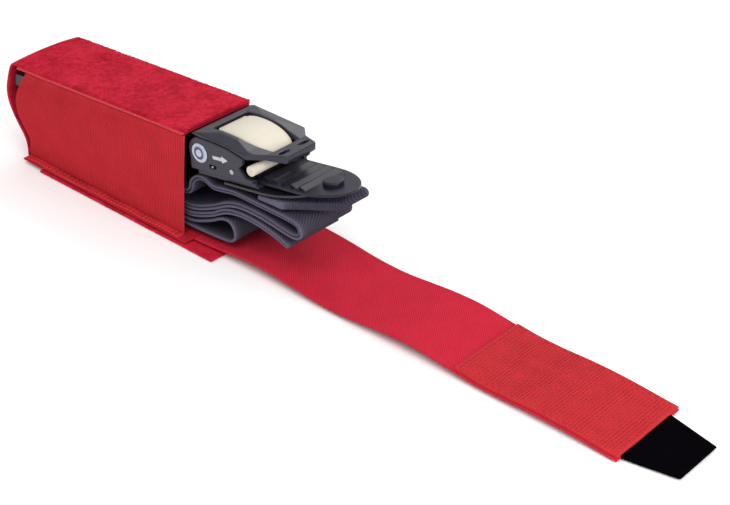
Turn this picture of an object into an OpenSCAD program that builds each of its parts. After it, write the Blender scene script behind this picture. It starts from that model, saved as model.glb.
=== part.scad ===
// Ratcheting tourniquet stowed in an elastic-sided pouch.
// Frame: origin on the rest face under the middle of the sleeve, +X out of the mouth, +Z up.

/* [Pouch] */
// Length of the sleeve from its rear end to the mouth
pouch_l = 130.9; // [115:0.1:150]
// Height of the sleeve's top face at the mouth
mouth_h = 65.4; // [64:0.1:80]
// Height of the sleeve's top face at the rear end
rear_h = 57.3; // [56:0.1:75]
// Set-back of the mouth's lower corners behind its upper corners
mouth_lean = 2.6; // [0:0.1:6]
// Thickness of the elastic side walls
wall_t = 1.6; // [1:0.1:2.5]
// Free gap between the buckle and each side wall
side_gap = 1.15; // [1:0.05:3]
// Thickness of the top panel's backing
backing_t = 1.4; // [0.8:0.1:2]
// Thickness of the loop panel on the backing
loop_t = 1.6; // [1:0.1:2]
// Width of the base and belt panels
flange_w = 57; // [54:0.5:70]
// Thickness of the base panel
base_t = 1.4; // [1:0.1:2.5]
// Thickness of the belt panel
belt_t = 1.2; // [1:0.1:2.5]
// Height of the flattened belt slot
belt_gap = 0.6; // [0.4:0.1:2]
// Length of the belt panel's flap in front of the mouth
flap_out = 22.5; // [18:0.5:26]
// Bulge of the rear strap behind the sleeve
rear_bulge = 10.4; // [9:0.1:16]

/* [Closing strap] */
// Width of the closing strap
strap_w = 50.8; // [45:0.1:56]
// Thickness of the closing strap
strap_t = 1.6; // [1:0.1:2.5]
// Distance from the mouth to the first fold line
fold_1 = 97; // [97:1:130]
// Length between the two fold lines
riser_l = 68; // [66:1:90]
// Length of the strap beyond the second fold line
flap_l = 101; // [85:1:140]
// Length of the hook patch
patch_l = 92; // [60:1:95]
// Thickness of the hook patch
patch_t = 1.4; // [1:0.1:2]
// Height of the strap's gentle waves
wave_h = 3.4; // [0:0.1:3.5]
// Length of one wave
wave_l = 97; // [90:1:110]
// Sideways offset of the strap from the middle
strap_y = 3.5; // [-3.5:0.5:3.5]
// Length of the pull tab
tab_l = 27; // [20:1:40]
// Width of the pull tab where it is sewn to the strap
tab_w_in = 41.6; // [30:0.1:45]
// Width of the pull tab's free end
tab_w_out = 29.6; // [20:0.1:30]

/* [Webbing] */
// Width of the limb webbing
web_w = 38.1; // [32:0.1:46]
// Thickness of a doubled webbing band
band_t = 3.3; // [2.6:0.1:3.3]
// Thickness of a single webbing layer
layer_t = 1.9; // [1.4:0.1:2]

/* [Buckle] */
// Pivot's distance in front of the mouth plane
pivot_out = 8; // [8:0.1:10]
// Pivot's height above the rest face
pivot_h = 55.2; // [55.2:0.1:56]
// Side overhang of the buckle beyond the webbing
overhang = 2.05; // [2:0.05:4]
// Thickness of each ear of the base
ear_t = 2.2; // [1.6:0.1:2.6]
// Radius of the main axle
axle_r = 2; // [1.6:0.1:2.3]
// Radial running clearance on the axle and the pawl pin
run_gap = 0.05; // [0.02:0.01:0.1]
// Side clearance between neighbouring moving plates
side_play = 0.5; // [0.4:0.05:0.8]
// Thickness of the lever's side plates
plate_t = 2.2; // [1.6:0.1:2.6]
// Radius of the release lever's cross rod
rod_r = 2.75; // [2.2:0.05:2.75]
// Radius of the drive pawl's pin
pin_r = 1.2; // [1:0.1:1.4]

/* [Ladder strap] */
// Tilt of the ladder strap, nose up
ladder_tilt = 9.5; // [9:0.1:10]
// Tooth pitch of the ladder strap
pitch = 6; // [5:0.1:7.2]
// Tooth height
tooth_h = 1.5; // [1.2:0.1:1.5]
// Thickness of the ladder strap under its teeth
ladder_t = 1.4; // [1.2:0.1:1.4]
// Distance from the pivot axis down to the tooth crests
crest_drop = 8.5; // [8.5:0.1:9]
// Distance from the pivot to the strap's tip
ladder_nose = 84.9; // [80:0.1:100]
// Radius of the round button
button_r = 5.3; // [4:0.1:7]

/* [Hidden] */
$fn = 48;
eps = 0.02;
mouth_x = pouch_l / 2;
rear_x = -pouch_l / 2;
datum_x = mouth_x + 0.8;
base_z = belt_t + belt_gap + base_t;
buckle_half = web_w / 2 + overhang;
wall_in = buckle_half + side_gap;
wall_out = wall_in + wall_t;
ear_in = buckle_half - ear_t;
plate_out = ear_in - side_play;
plate_in = plate_out - plate_t;
hub_out = plate_in - side_play;
hub_in = hub_out - 6.6;
ladder_half = ear_in - 2.9;
skirt_in = ladder_half + 0.7;
pad_rear_half = buckle_half - 9.5;
pad_front_half = buckle_half - 12.6;
opening_gap = 0.7;
crest_v = -crest_drop;
ladder_top_v = crest_v - tooth_h;
ladder_bottom_v = ladder_top_v - ladder_t;
floor_top_v = ladder_bottom_v - 0.2;
floor_bottom_v = floor_top_v - 1.7;
tongue_top_v = floor_bottom_v - 0.1;
tongue_bottom_v = tongue_top_v - 1.3;
tip_gap = 0.25;
hold_u = 30;
pin_at = [3.6, -4.6];
rod_at = [35.1, 2.8];
strap_end = fold_1 + riser_l + flap_l;
strap_low = base_z - base_t / 2 + 0.1;
ladder_rear_u = -44;
lead_front_u = -40;
lead_rear_u = -72;

// Points of a smooth curve through the given points, n steps between neighbours.
function through(p, i) = p[max(0, min(len(p) - 1, i))];
function blend_point(a, b, c, d, t) =
    0.5 * ((2 * b) + (c - a) * t + (2 * a - 5 * b + 4 * c - d) * t * t
    + (3 * b - a - 3 * c + d) * t * t * t);
function smooth(p, n) = concat(
    [for (i = [0 : len(p) - 2], k = [0 : n - 1])
        blend_point(through(p, i - 1), p[i], p[i + 1], through(p, i + 2), k / n)],
    [p[len(p) - 1]]);

// Outline of a band that follows a curve, between two distances off it.
function unit(v) = v / norm(v);
function normal_at(p, i) =
    let (d = unit(through(p, i + 1) - through(p, i - 1))) [-d[1], d[0]];
function band(p, low, high) = concat(
    [for (i = [0 : len(p) - 1]) p[i] + low * normal_at(p, i)],
    [for (i = [len(p) - 1 : -1 : 0]) p[i] + high * normal_at(p, i)]);

// Front view outline (x, z) given a width from y0 to y1.
module wide(y0, y1) { translate([0, y1, 0]) rotate([90, 0, 0]) linear_extrude(y1 - y0) children(); }
module centred(w) { wide(-w / 2, w / 2) children(); }
module both_sides() { children(); mirror([0, 1, 0]) children(); }
module pin_y(r, half) { rotate([90, 0, 0]) cylinder(r = r, h = 2 * half, center = true); }
module at_datum() { translate([datum_x, 0, 0]) children(); }
module at_pivot() { translate([datum_x + pivot_out, 0, pivot_h]) children(); }
module at_ladder() { at_pivot() rotate([0, -ladder_tilt, 0]) children(); }

// Height of the sleeve's top face.
function top_z(x) = rear_h + (mouth_h - rear_h) * (x - rear_x) / pouch_l;
module top_layer(low, high) {
    centred(2 * wall_out) polygon([
        [rear_x, rear_h - low], [mouth_x, mouth_h - low],
        [mouth_x, mouth_h - high], [rear_x, rear_h - high]]);
}

// Centre height of the closing strap at a distance from the mouth plane.
function fade(x) = min(1, (strap_end - x) / 80);
function end_dip(x) = x < fold_1 + riser_l ? 0 : 1.3 * pow((x - fold_1 - riser_l) / flap_l, 2);
function strap_z(x) =
    strap_low - end_dip(x) + wave_h * (1 + cos(360 * (x - fold_1 + wave_l / 2) / wave_l)) / 2 * fade(x);
function strap_run(x0, x1, n) =
    [for (i = [0 : n]) let (x = x0 + (x1 - x0) * i / n) [x, strap_z(x)]];
module strap_piece(x0, x1, n) {
    run = strap_run(x0, x1, n);
    at_datum() translate([0, strap_y, 0]) centred(strap_w) polygon(concat(
        [for (p = run) p - [0, strap_t / 2]],
        [for (i = [len(run) - 1 : -1 : 0]) run[i] + [0, strap_t / 2]]));
}

module side_wall() {
    cut = backing_t + loop_t;
    set_back = 7.3;
    wide(wall_in, wall_out) polygon([
        [rear_x + 5.7, base_z], [rear_x + 6.6, 14], [rear_x + 3, 19.6], [rear_x - 1.6, 26],
        [rear_x - 3, 33], [rear_x - 1.9, 39], [rear_x + 2.8, 48],
        [rear_x + set_back, top_z(rear_x + set_back) - cut], [mouth_x, mouth_h - cut],
        [mouth_x - mouth_lean, base_z]]);
}
module left_wall() { color("firebrick") mirror([0, 1, 0]) side_wall(); }
module right_wall() { color("firebrick") side_wall(); }
module top_backing() { color("darkred") top_layer(loop_t, loop_t + backing_t); }
module top_loop_panel() { color("crimson") top_layer(0, loop_t); }

module panel(x0, x1, w, z0, t) { translate([x0, -w / 2, z0]) cube([x1 - x0, w, t]); }
module base_panel() {
    color("firebrick") panel(rear_x + 4.7, datum_x + 2.5, flange_w - 1, base_z - base_t, base_t);
}
belt_rear = rear_x + 19.7;
module belt_panel() { color("indianred") panel(belt_rear, datum_x + flap_out, flange_w + 1, 0, belt_t); }
module belt_seam_front() { color("darkred") panel(mouth_x - 8, mouth_x - 2, flange_w - 3, belt_t, belt_gap); }
module belt_seam_rear() { color("darkred") panel(belt_rear + 1, belt_rear + 7, flange_w - 3, belt_t, belt_gap); }

module rear_strap() {
    half = (base_t + backing_t) / 4 + 0.1;
    curve = smooth([
        [-0.1, rear_h - half], [-4, rear_h - half - 0.9], [-rear_bulge + 1, 46], [-rear_bulge, 39],
        [-rear_bulge + 2.6, 29], [-4, 21], [1.6, 14], [3.7 , 8], [4.7 - half, base_z - base_t]], 4);
    color("crimson") translate([rear_x, 0, 0]) centred(2 * wall_out - 0.6) polygon(band(curve, -half, half));
}

module strap_root() { color("crimson") strap_piece(2.5, fold_1, 24); }
module strap_riser() { color("crimson") strap_piece(fold_1, fold_1 + riser_l, 16); }
patch_run = strap_run(strap_end - patch_l, strap_end, 20);
module strap_flap() {
    run = concat([[fold_1 + riser_l, strap_z(fold_1 + riser_l)]], patch_run);
    color("crimson") at_datum() translate([0, strap_y, 0]) centred(strap_w) polygon(concat(
        [for (p = run) p - [0, strap_t / 2]],
        [for (i = [len(run) - 1 : -1 : 0]) run[i] + [0, strap_t / 2]]));
}
module hook_patch() {
    run = patch_run;
    color("orangered") at_datum() translate([0, strap_y, 0]) centred(strap_w - 0.8) polygon(concat(
        [for (p = run) p + [0, strap_t / 2]],
        [for (i = [len(run) - 1 : -1 : 0]) run[i] + [0, strap_t / 2 + patch_t]]));
}
module pull_tab() {
    color("black") at_datum() translate([strap_end, strap_y - 1.5, strap_z(strap_end) - strap_t / 2])
        linear_extrude(strap_t) polygon([
            [0, -tab_w_in / 2], [tab_l, -tab_w_out / 2], [tab_l, tab_w_out / 2], [0, tab_w_in / 2]]);
}

// Base of the buckle: two ears joined by a floor, with the ladder's channel between them.
module ear_outline() {
    difference() {
        union() {
            circle(r = 8.2);
            polygon([
                [-8.2, 0], [-7.6, -3], [-6.5, -11.1], [36.4, -3.95], [36.9, -2.1], [31.4, -2.1],
                [27, 1.4], [29.7, 4], [29.7, 7.7], [20, 9.1], [8, 8.9], [0, 8.2]]);
        }
        circle(r = axle_r + eps);
        translate([22.6, -2.2]) circle(r = 1.02);
        translate([9, -4.8]) rotate(ladder_tilt) square([5, 1.8], center = true);
    }
}
module buckle_base() {
    color("dimgray") {
        both_sides() at_pivot() wide(ear_in, buckle_half) ear_outline();
        both_sides() at_ladder() wide(skirt_in, ear_in) polygon([
            [-6, floor_bottom_v], [35, floor_bottom_v], [35, crest_v - 0.4], [-6, crest_v - 0.4]]);
        at_ladder() difference() {
            centred(2 * ear_in) polygon([
                [-6, floor_bottom_v], [37, floor_bottom_v], [37, floor_top_v], [-6, floor_top_v]]);
            rivet_places() cylinder(r = 1.5 + eps, h = 40, center = true);
        }
    }
}
module rivet_places() { for (x = [18, 30], y = [-1, 1]) translate([x, y * (ladder_half - 5), 0]) children(); }
module base_tongue() {
    half = buckle_half - 0.9;
    nose = 66;
    start = 40;
    color("black") at_ladder() difference() {
        translate([0, 0, tongue_bottom_v]) linear_extrude(tongue_top_v - tongue_bottom_v)
            polygon(concat([[14, -half]],
                [for (a = [-90 : 10 : 90]) [start + (nose - start) * cos(a), half * sin(a)]],
                [[14, half]]));
        rivet_places() cylinder(r = 1.5 + eps, h = 40, center = true);
    }
}
module base_rivets() {
    color("silver") at_ladder() rivet_places() {
        translate([0, 0, tongue_bottom_v]) cylinder(r = 1.5, h = floor_top_v - tongue_bottom_v);
        translate([0, 0, tongue_bottom_v - 0.6]) cylinder(r = 2.6, h = 0.6);
    }
}
module main_axle() { color("silver") at_pivot() pin_y(axle_r, buckle_half); }
module axle_caps() {
    color("lightgray") at_pivot() both_sides() translate([0, -buckle_half, 0]) rotate([90, 0, 0])
        rotate_extrude() polygon([
            [0, 0], [5.35, 0], [5.35, 0.35], [5, 0.6], [3.6, 0.6], [3.5, 0.4], [3.3, 0.8], [0, 0.85]]);
}
module ear_rivets() {
    color("gray") at_pivot() both_sides() translate([22.6, 0, -2.2]) rotate([90, 0, 0]) {
        translate([0, 0, ear_in]) cylinder(r = 1, h = ear_t);
        translate([0, 0, buckle_half]) cylinder(r = 1.3, h = 0.3);
    }
}
module axle_springs() {
    coil_y = hub_in - 0.4;
    color("silver") at_pivot() {
        for (side = [-1, 1], turn = [0, 1])
            translate([0, side * (coil_y - 0.55 - turn * 0.95), 0]) rotate([90, 0, 0])
                rotate_extrude() translate([axle_r + 0.65, 0]) circle(r = 0.45, $fn = 16);
        both_sides() translate([9, -(buckle_half - ear_t / 2), -4.8]) pin_y(0.5, ear_t / 2 + 0.2);
    }
}
module label_arrow() {
    color("white") at_pivot() translate([9.4, -buckle_half, 0.6]) rotate([90, 0, 0]) linear_extrude(0.15)
        rotate(ladder_tilt) polygon([
            [0, -0.5], [6.5, -0.5], [6.5, -1.5], [10.6, 0.4], [6.5, 2.3], [6.5, 1.3], [0, 1.3]]);
}

// Webbing: bands drawn by their side outline, one web width across.
module web_band(points, t) { at_datum() centred(web_w) polygon(band(smooth(points, 4), -t / 2, t / 2)); }
module webbing_top_fold() {
    color("darkslategray") at_datum() intersection() {
        centred(web_w) polygon(concat(
            [[46, 42.6]], [for (a = [-90 : 18 : 90]) [83.6 + 2.8 * cos(a), 46.6 + 2.6 * sin(a)]],
            [[62, 47.6], [46, 45.4]]));
        translate([0, 0, 40]) linear_extrude(12) polygon([
            [40, -web_w / 2], [62, -web_w / 2], [92, 4], [92, web_w / 2], [40, web_w / 2]]);
    }
}
module webbing_upper_band() {
    color("darkslategray") web_band([
        [-16, 25.6], [-6, 26.4], [-2.4, 29], [-1, 34], [3, 37.8], [8, 38.6], [14, 36.6], [21, 37.6],
        [30, 39.2], [46, 39.4], [62, 39.4], [71, 38.6], [74, 35.6], [73.4, 32.4], [69, 31],
        [60, 31.8], [47, 33.4], [34, 33], [24, 30.4], [12, 24], [-1, 18.9], [-14, 18]], band_t);
}
module webbing_lower_fold() {
    color("darkslategray") web_band([
        [-14, 14.2], [-1, 14.8], [12, 19.8], [23, 26], [34, 28.4], [46, 28.4], [57, 26.4],
        [64, 24.4], [67, 23]], band_t);
}
module webbing_low_loop() {
    color("darkslategray") web_band([
        [-14, 10.4], [-1, 10.8], [11, 15.6], [20, 20.4], [26, 20.6], [29, 17], [29.2, 12.6],
        [26, 9.6], [18, 8.4], [8, 7.6], [-2, 7.2], [-14, 7]], layer_t);
}
stack_rear = rear_x + 15;
stack_front = datum_x - 16;
module rounded_slab(x0, x1, z0, z1) {
    r = (z1 - z0) / 2;
    centred(web_w) union() {
        translate([x0 + r, z0]) square([x1 - x0 - 2 * r, z1 - z0]);
        translate([x0 + r, z0 + r]) circle(r = r);
        translate([x1 - r, z0 + r]) circle(r = r);
    }
}
module webbing_inner_stack() {
    color("darkslategray") {
        rounded_slab(stack_rear, stack_front, 5.8, 13.6);
        rounded_slab(stack_rear + 4, stack_front, 14, 20.4);
    }
}
module webbing_rear_loop() {
    curve = smooth([
        [66.5, 30.7], [50, 33], [31.7, 38.6], [19.7, 41.8], [8, 44.9], [-2.3, 47.7], [-5.9, 46.6],
        [-6.3, 43.8], [-2.3, 42], [9, 37], [18, 29], [26, 23.2]], 4);
    lead_end = datum_x + pivot_out + lead_rear_u * cos(ladder_tilt) + 1.4 - rear_x;
    stretch = (lead_end - 9) / (66.5 - 9);
    run = [for (p = curve) p[0] > 9 ? [9 + (p[0] - 9) * stretch, p[1]] : p];
    color("darkslategray") translate([rear_x, 0, 0]) centred(web_w) polygon(band(run, -1.1, 1.1));
}
module slide_buckle() {
    color("black") translate([rear_x, 0, 0]) {
        both_sides() wide(web_w / 2 + 0.3, web_w / 2 + 1.8) polygon([
            [-5.6, 42.4], [-5.3, 49], [8, 50.2], [20, 45], [20, 37.4], [16, 37], [8, 40.6]]);
        for (bar = [[-2.7, 44.95], [8, 47.7], [17.7, 38.6]])
            translate([bar[0], 0, bar[1]]) pin_y(1.4, web_w / 2 + 0.3);
    }
}

// Lever: a D-shaped frame over the ears, with two side plates that hang on the axle.
module lever_side() {
    intersection() {
        union() {
            difference() {
                circle(r = 10.9);
                translate([-20, -30]) square([40, 38.6]);
                translate([0, -30]) square([20, 60]);
            }
            polygon([
                [-5, 8.6], [0, 8.6], [8, 9.4], [20, 9.6], [30.4, 8.4], [33, 8], [49.8, 8.2], [50.4, 10],
                [49.8, 12.7], [40, 11.1], [31, 11.3], [20, 12.4], [8.3, 12.3], [0, 10.9], [-5, 9.6]]);
        }
        translate([-20, -20]) square([80, 40]);
    }
}
module lever_plan() {
    half = buckle_half;
    difference() {
        polygon([
            [-12, -half], [32.4, -half], [39, -half + 6.4], [48.6, -half + 10], [50.4, -half + 11.4],
            [50.4, half - 11.4], [48.6, half - 10], [39, half - 6.4], [32.4, half], [-12, half]]);
        offset_pad();
        for (side = [-1, 1], end = [-1, 1]) translate([44.6, side * 6.8 + end * 2.2]) circle(r = 1.4);
        for (side = [-1, 1]) translate([44.6, side * 6.8]) square([2.8, 4.4], center = true);
    }
}
module offset_pad() {
    rear = pad_rear_half + opening_gap;
    front = pad_front_half + opening_gap;
    polygon([[0.6, -rear], [24, -rear], [39.6, -front], [39.6, front], [24, rear], [0.6, rear]]);
}
module lever_frame() {
    color("dimgray") at_pivot() {
        intersection() {
            centred(2 * buckle_half) lever_side();
            linear_extrude(20) lever_plan();
            translate([-20, 0, 0]) rotate([90, 0, 90]) linear_extrude(80) polygon([
                [-buckle_half, 0], [-buckle_half, 10.5], [-buckle_half + 8, 12.8],
                [buckle_half - 8, 12.8], [buckle_half, 10.5], [buckle_half, 0]]);
        }
        both_sides() wide(plate_in, plate_out) difference() {
            union() {
                circle(r = 6.9);
                polygon([[-6.9, 0], [6.9, 0], [12, 5], [24, 7], [24, 9], [8, 9.45], [0, 8.7], [-6.9, 8.7]]);
            }
            circle(r = axle_r + run_gap);
            translate(pin_at) circle(r = pin_r + eps);
        }
    }
}
module pawl_pin() { color("silver") at_pivot() translate([pin_at[0], 0, pin_at[1]]) pin_y(pin_r, plate_out); }

// Pivot-frame point turned into the ladder's frame, and the pawls' outlines there.
function to_ladder(p) = [
    p[0] * cos(ladder_tilt) + p[1] * sin(ladder_tilt), -p[0] * sin(ladder_tilt) + p[1] * cos(ladder_tilt)];
module drive_pawl() {
    pin = to_ladder(pin_at);
    tip_u = hold_u - 3 * pitch - 0.2;
    tip_v = crest_v + tip_gap;
    color("gray") at_ladder() centred(2 * (hub_in - 2.5)) difference() {
        union() {
            translate(pin) circle(r = 2.2);
            polygon([
                [pin[0] - 0.6, pin[1] - 2.1], [tip_u - 1.4, tip_v + 0.9], [tip_u - 1.2, tip_v],
                [tip_u, tip_v], [tip_u, tip_v + 2.6], [pin[0] + 1, pin[1] + 1.96]]);
        }
        translate(pin) circle(r = pin_r + run_gap);
    }
}

// Release lever: crowned pad, two webs down to hubs on the axle, and the holding pawl.
module pad_side() {
    polygon(concat(
        [[1.8, 9.4]], smooth([[2.2, 10.6], [8, 12.5], [16, 13.2], [26, 12.4], [34, 10.4], [38.6, 8.2]], 3),
        [[38.6, 6.4], [32, 6.8], [24, 9.2], [10, 9.6]]));
}
module pad_plan() {
    polygon([
        [1.4, -pad_rear_half + 3], [5, -pad_rear_half], [24, -pad_rear_half], [38.9, -pad_front_half],
        [38.9, pad_front_half], [24, pad_rear_half], [5, pad_rear_half], [1.4, pad_rear_half - 3]]);
}
module release_lever() {
    color("wheat") {
        at_pivot() intersection() {
            centred(2 * pad_rear_half) pad_side();
            linear_extrude(30) pad_plan();
        }
        at_pivot() both_sides() {
            wide(hub_in, hub_out) difference() {
                circle(r = 4.2);
                circle(r = axle_r + run_gap);
            }
            wide(hub_in, pad_rear_half) difference() {
                polygon([[-2, 3.6], [3.2, 2.7], [13.4, 9.3], [13.4, 10.4], [4, 10.4], [2.4, 9.4]]);
                circle(r = axle_r + run_gap);
            }
        }
        at_pivot() wide(-pad_front_half + 1, pad_front_half - 1) difference() {
            polygon([[32.2, 7.4], [32.6, rod_at[1]], [37.6, rod_at[1]], [38.4, 7.4]]);
            translate(rod_at) circle(r = rod_r + eps);
        }
        at_ladder() wide(-7, 7) polygon([
            [hold_u - 5.6, 7], [hold_u - 1.75, crest_v + tip_gap], [hold_u - 0.15, crest_v + tip_gap],
            [hold_u - 0.15, crest_v + tip_gap + 3], [hold_u + 2.4, 3.4]]);
    }
}
module release_rod() {
    color("wheat") at_pivot() translate([rod_at[0], 0, rod_at[1]]) pin_y(rod_r, buckle_half - 0.2);
}

// Ladder strap: steep tooth faces look back into the buckle, ramps look to the tip.
module ladder_strap() {
    start = ladder_nose - 25;
    first = -11;
    last = floor((ladder_nose - 19 - 0.75 * pitch - hold_u) / pitch);
    color("dimgray") at_ladder() {
        translate([0, 0, ladder_bottom_v]) linear_extrude(ladder_t) difference() {
            polygon(concat([[ladder_rear_u, -ladder_half]],
                [for (a = [-90 : 10 : 90])
                    [start + (ladder_nose - start) * cos(a), ladder_half * sin(a)]],
                [[ladder_rear_u, ladder_half]]));
            lead_rivet_places() circle(r = 1.6 + eps);
        }
        for (k = [max(first, ceil((ladder_rear_u + 8 - hold_u) / pitch)) : last])
            translate([hold_u + k * pitch, 0, 0]) centred(2 * ladder_half - 5) polygon([
                [0, ladder_top_v - eps], [0, crest_v], [0.8, crest_v], [0.73 * pitch, ladder_top_v - eps]]);
    }
}
module ladder_button() {
    color("dimgray") at_ladder() translate([ladder_nose - 14.4, 0, ladder_top_v]) rotate_extrude()
        polygon([[0, 0], [button_r, 0], [button_r, 1.9], [button_r - 0.5, 2.4], [0, 2.5]]);
}
module lead_rivet_places() {
    for (side = [-1, 1]) translate([ladder_rear_u + 2.2, side * (ladder_half - 6)]) children();
}
module ladder_lead() {
    color("darkslategray") at_ladder() difference() {
        translate([lead_rear_u, -web_w / 2, ladder_bottom_v - 2.2])
            cube([lead_front_u - lead_rear_u, web_w, 2.2]);
        lead_rivet_places() translate([0, 0, -20]) cylinder(r = 1.6 + eps, h = 40);
    }
}
module ladder_rivets() {
    color("silver") at_ladder() lead_rivet_places() {
        translate([0, 0, ladder_bottom_v - 2.2]) cylinder(r = 1.6, h = ladder_t + 2.2);
        translate([0, 0, ladder_top_v]) cylinder(r = 2.8, h = 0.7);
    }
}

left_wall();
right_wall();
top_backing();
top_loop_panel();
base_panel();
belt_panel();
belt_seam_front();
belt_seam_rear();
rear_strap();
strap_root();
strap_riser();
strap_flap();
hook_patch();
pull_tab();
buckle_base();
base_tongue();
base_rivets();
main_axle();
axle_caps();
ear_rivets();
axle_springs();
label_arrow();
webbing_top_fold();
webbing_upper_band();
webbing_lower_fold();
webbing_low_loop();
webbing_inner_stack();
webbing_rear_loop();
slide_buckle();
lever_frame();
pawl_pin();
drive_pawl();
release_lever();
release_rod();
ladder_strap();
ladder_button();
ladder_lead();
ladder_rivets();
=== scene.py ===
# %% [markdown]
# # A ratcheting tourniquet in its belt pouch
# The object is a red elastic-sided pouch that holds a ratchet buckle, its toothed ladder strap and
# a stack of folded webbing. The mechanical design is already fixed: every body, joint and size comes
# from the loaded frame, and these cells only add the fabric, the stitching and the finishes.

# %% Load the frame
import bmesh
import bpy
import math
import random
from bisect import bisect_right
from mathutils import Matrix, Vector, noise


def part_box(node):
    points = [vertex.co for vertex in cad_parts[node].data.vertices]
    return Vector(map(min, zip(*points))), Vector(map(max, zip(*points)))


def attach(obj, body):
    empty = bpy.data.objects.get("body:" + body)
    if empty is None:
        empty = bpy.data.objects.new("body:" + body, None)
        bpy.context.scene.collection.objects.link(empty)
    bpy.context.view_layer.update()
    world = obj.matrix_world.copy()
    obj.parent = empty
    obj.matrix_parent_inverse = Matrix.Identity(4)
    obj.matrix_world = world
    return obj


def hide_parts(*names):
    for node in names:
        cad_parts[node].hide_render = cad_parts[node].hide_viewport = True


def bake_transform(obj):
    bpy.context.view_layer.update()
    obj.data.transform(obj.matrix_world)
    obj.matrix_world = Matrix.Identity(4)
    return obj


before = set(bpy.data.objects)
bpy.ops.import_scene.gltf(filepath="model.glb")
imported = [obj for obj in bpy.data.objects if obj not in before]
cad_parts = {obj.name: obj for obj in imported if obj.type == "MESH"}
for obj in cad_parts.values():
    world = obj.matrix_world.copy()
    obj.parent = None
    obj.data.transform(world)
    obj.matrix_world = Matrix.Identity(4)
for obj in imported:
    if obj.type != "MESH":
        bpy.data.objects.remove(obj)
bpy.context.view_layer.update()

MM = 0.001

# %% [markdown]
# ## Camera
# The camera is placed first, because every later choice of detail depends on how large a millimetre
# looks. It stands in front of the mouth, a little above, with a long lens that keeps edges parallel.

# %% Camera
def placed(name, data):
    """A new object at the origin of the scene."""
    made = bpy.data.objects.new(name, data)
    bpy.context.scene.collection.objects.link(made)
    return made


LENS = 84.62
SENSOR_WIDTH = 36.0
camera_data = bpy.data.cameras.new("studio_camera")
camera_data.lens = LENS
camera_data.sensor_width = SENSOR_WIDTH
camera = placed("studio_camera", camera_data)
camera_right = Vector((0.752685, 0.657782, 0.028072))
camera_up = Vector((-0.368131, 0.385129, 0.846260))
camera_back = camera_right.cross(camera_up)
camera_place = Vector((623.87, -542.01, 472.36)) * MM
camera_turn = Matrix((camera_right, camera_up, camera_back)).transposed().to_4x4()
camera.matrix_world = Matrix.Translation(camera_place) @ camera_turn
bpy.context.scene.camera = camera
print("camera at", [round(v, 3) for v in camera.location])

# %% [markdown]
# ## Places taken from the frame
# The sleeve's mouth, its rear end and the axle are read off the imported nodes, so the fabric always
# meets the parts it is sewn to. Lengths in these cells are millimetres until a mesh is finished.

# %% Places
def low(node, axis):
    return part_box(node)[0][axis] / MM


def high(node, axis):
    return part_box(node)[1][axis] / MM


# Side-view routes count from DATUM, just in front of the mouth. LEAN is the buckle's upward tilt, and
# REAR_DROP is how much lower the sleeve is at its rear than at its mouth.
SEAM = 0.8
REAR_DROP = 8.1
BUCKLE_TILT = 9.5
MOUTH = high("top_loop_panel", 0)
REAR = low("top_loop_panel", 0)
DATUM = MOUTH + SEAM
WALL_OUT = high("right_wall", 1)
BASE_TOP = high("base_panel", 2)
MOUTH_TOP = high("top_loop_panel", 2)
PIVOT_X = (low("main_axle", 0) + high("main_axle", 0)) / 2
PIVOT_Z = (low("main_axle", 2) + high("main_axle", 2)) / 2
LEAN = math.radians(BUCKLE_TILT)
WEB_HALF = high("webbing_upper_band", 1)
STRAP_LOW_Y = low("strap_riser", 1)
STRAP_HIGH_Y = high("strap_riser", 1)
STRAP_Y = (STRAP_LOW_Y + STRAP_HIGH_Y) / 2
STRAP_W = STRAP_HIGH_Y - STRAP_LOW_Y
FOLD_1 = low("strap_riser", 0) - DATUM
FOLD_2 = high("strap_riser", 0) - DATUM
STRAP_END = high("strap_flap", 0) - DATUM
PATCH_START = low("hook_patch", 0) - DATUM
REAR_TOP = MOUTH_TOP - REAR_DROP
TOP_SLOPE = (MOUTH_TOP - REAR_TOP) / (MOUTH - REAR)
random.seed(7)
print("mouth", round(MOUTH, 2), "axle", round(PIVOT_X, 2), round(PIVOT_Z, 2))

# %% [markdown]
# ## Shader expressions
# A finish is easier to read as a sum than as a list of node links. `Wire` wraps one socket and turns
# + - * into Math nodes; `Finish` makes a material and any other node through a single method.

# %% Shader expressions
class Wire:
    def __init__(self, finish, socket):
        self.finish = finish
        self.socket = socket

    def maths(self, operation, *values):
        return self.finish.node("ShaderNodeMath", {"operation": operation}, *values)

    def __add__(self, other):
        return self.maths("ADD", self, other)

    def __sub__(self, other):
        return self.maths("SUBTRACT", self, other)

    def __rsub__(self, other):
        return self.maths("SUBTRACT", other, self)

    def __mul__(self, other):
        return self.maths("MULTIPLY", self, other)

    __radd__ = __add__
    __rmul__ = __mul__

    def power(self, exponent):
        return self.maths("POWER", self, exponent)

    def wave(self, period):
        """From 0 to 1 and back once every period."""
        return self.maths("SINE", self * (2 * math.pi / period)) * 0.5 + 0.5

    def clamp(self):
        return self.finish.node("ShaderNodeClamp", {}, self, 0.0, 1.0)


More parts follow.
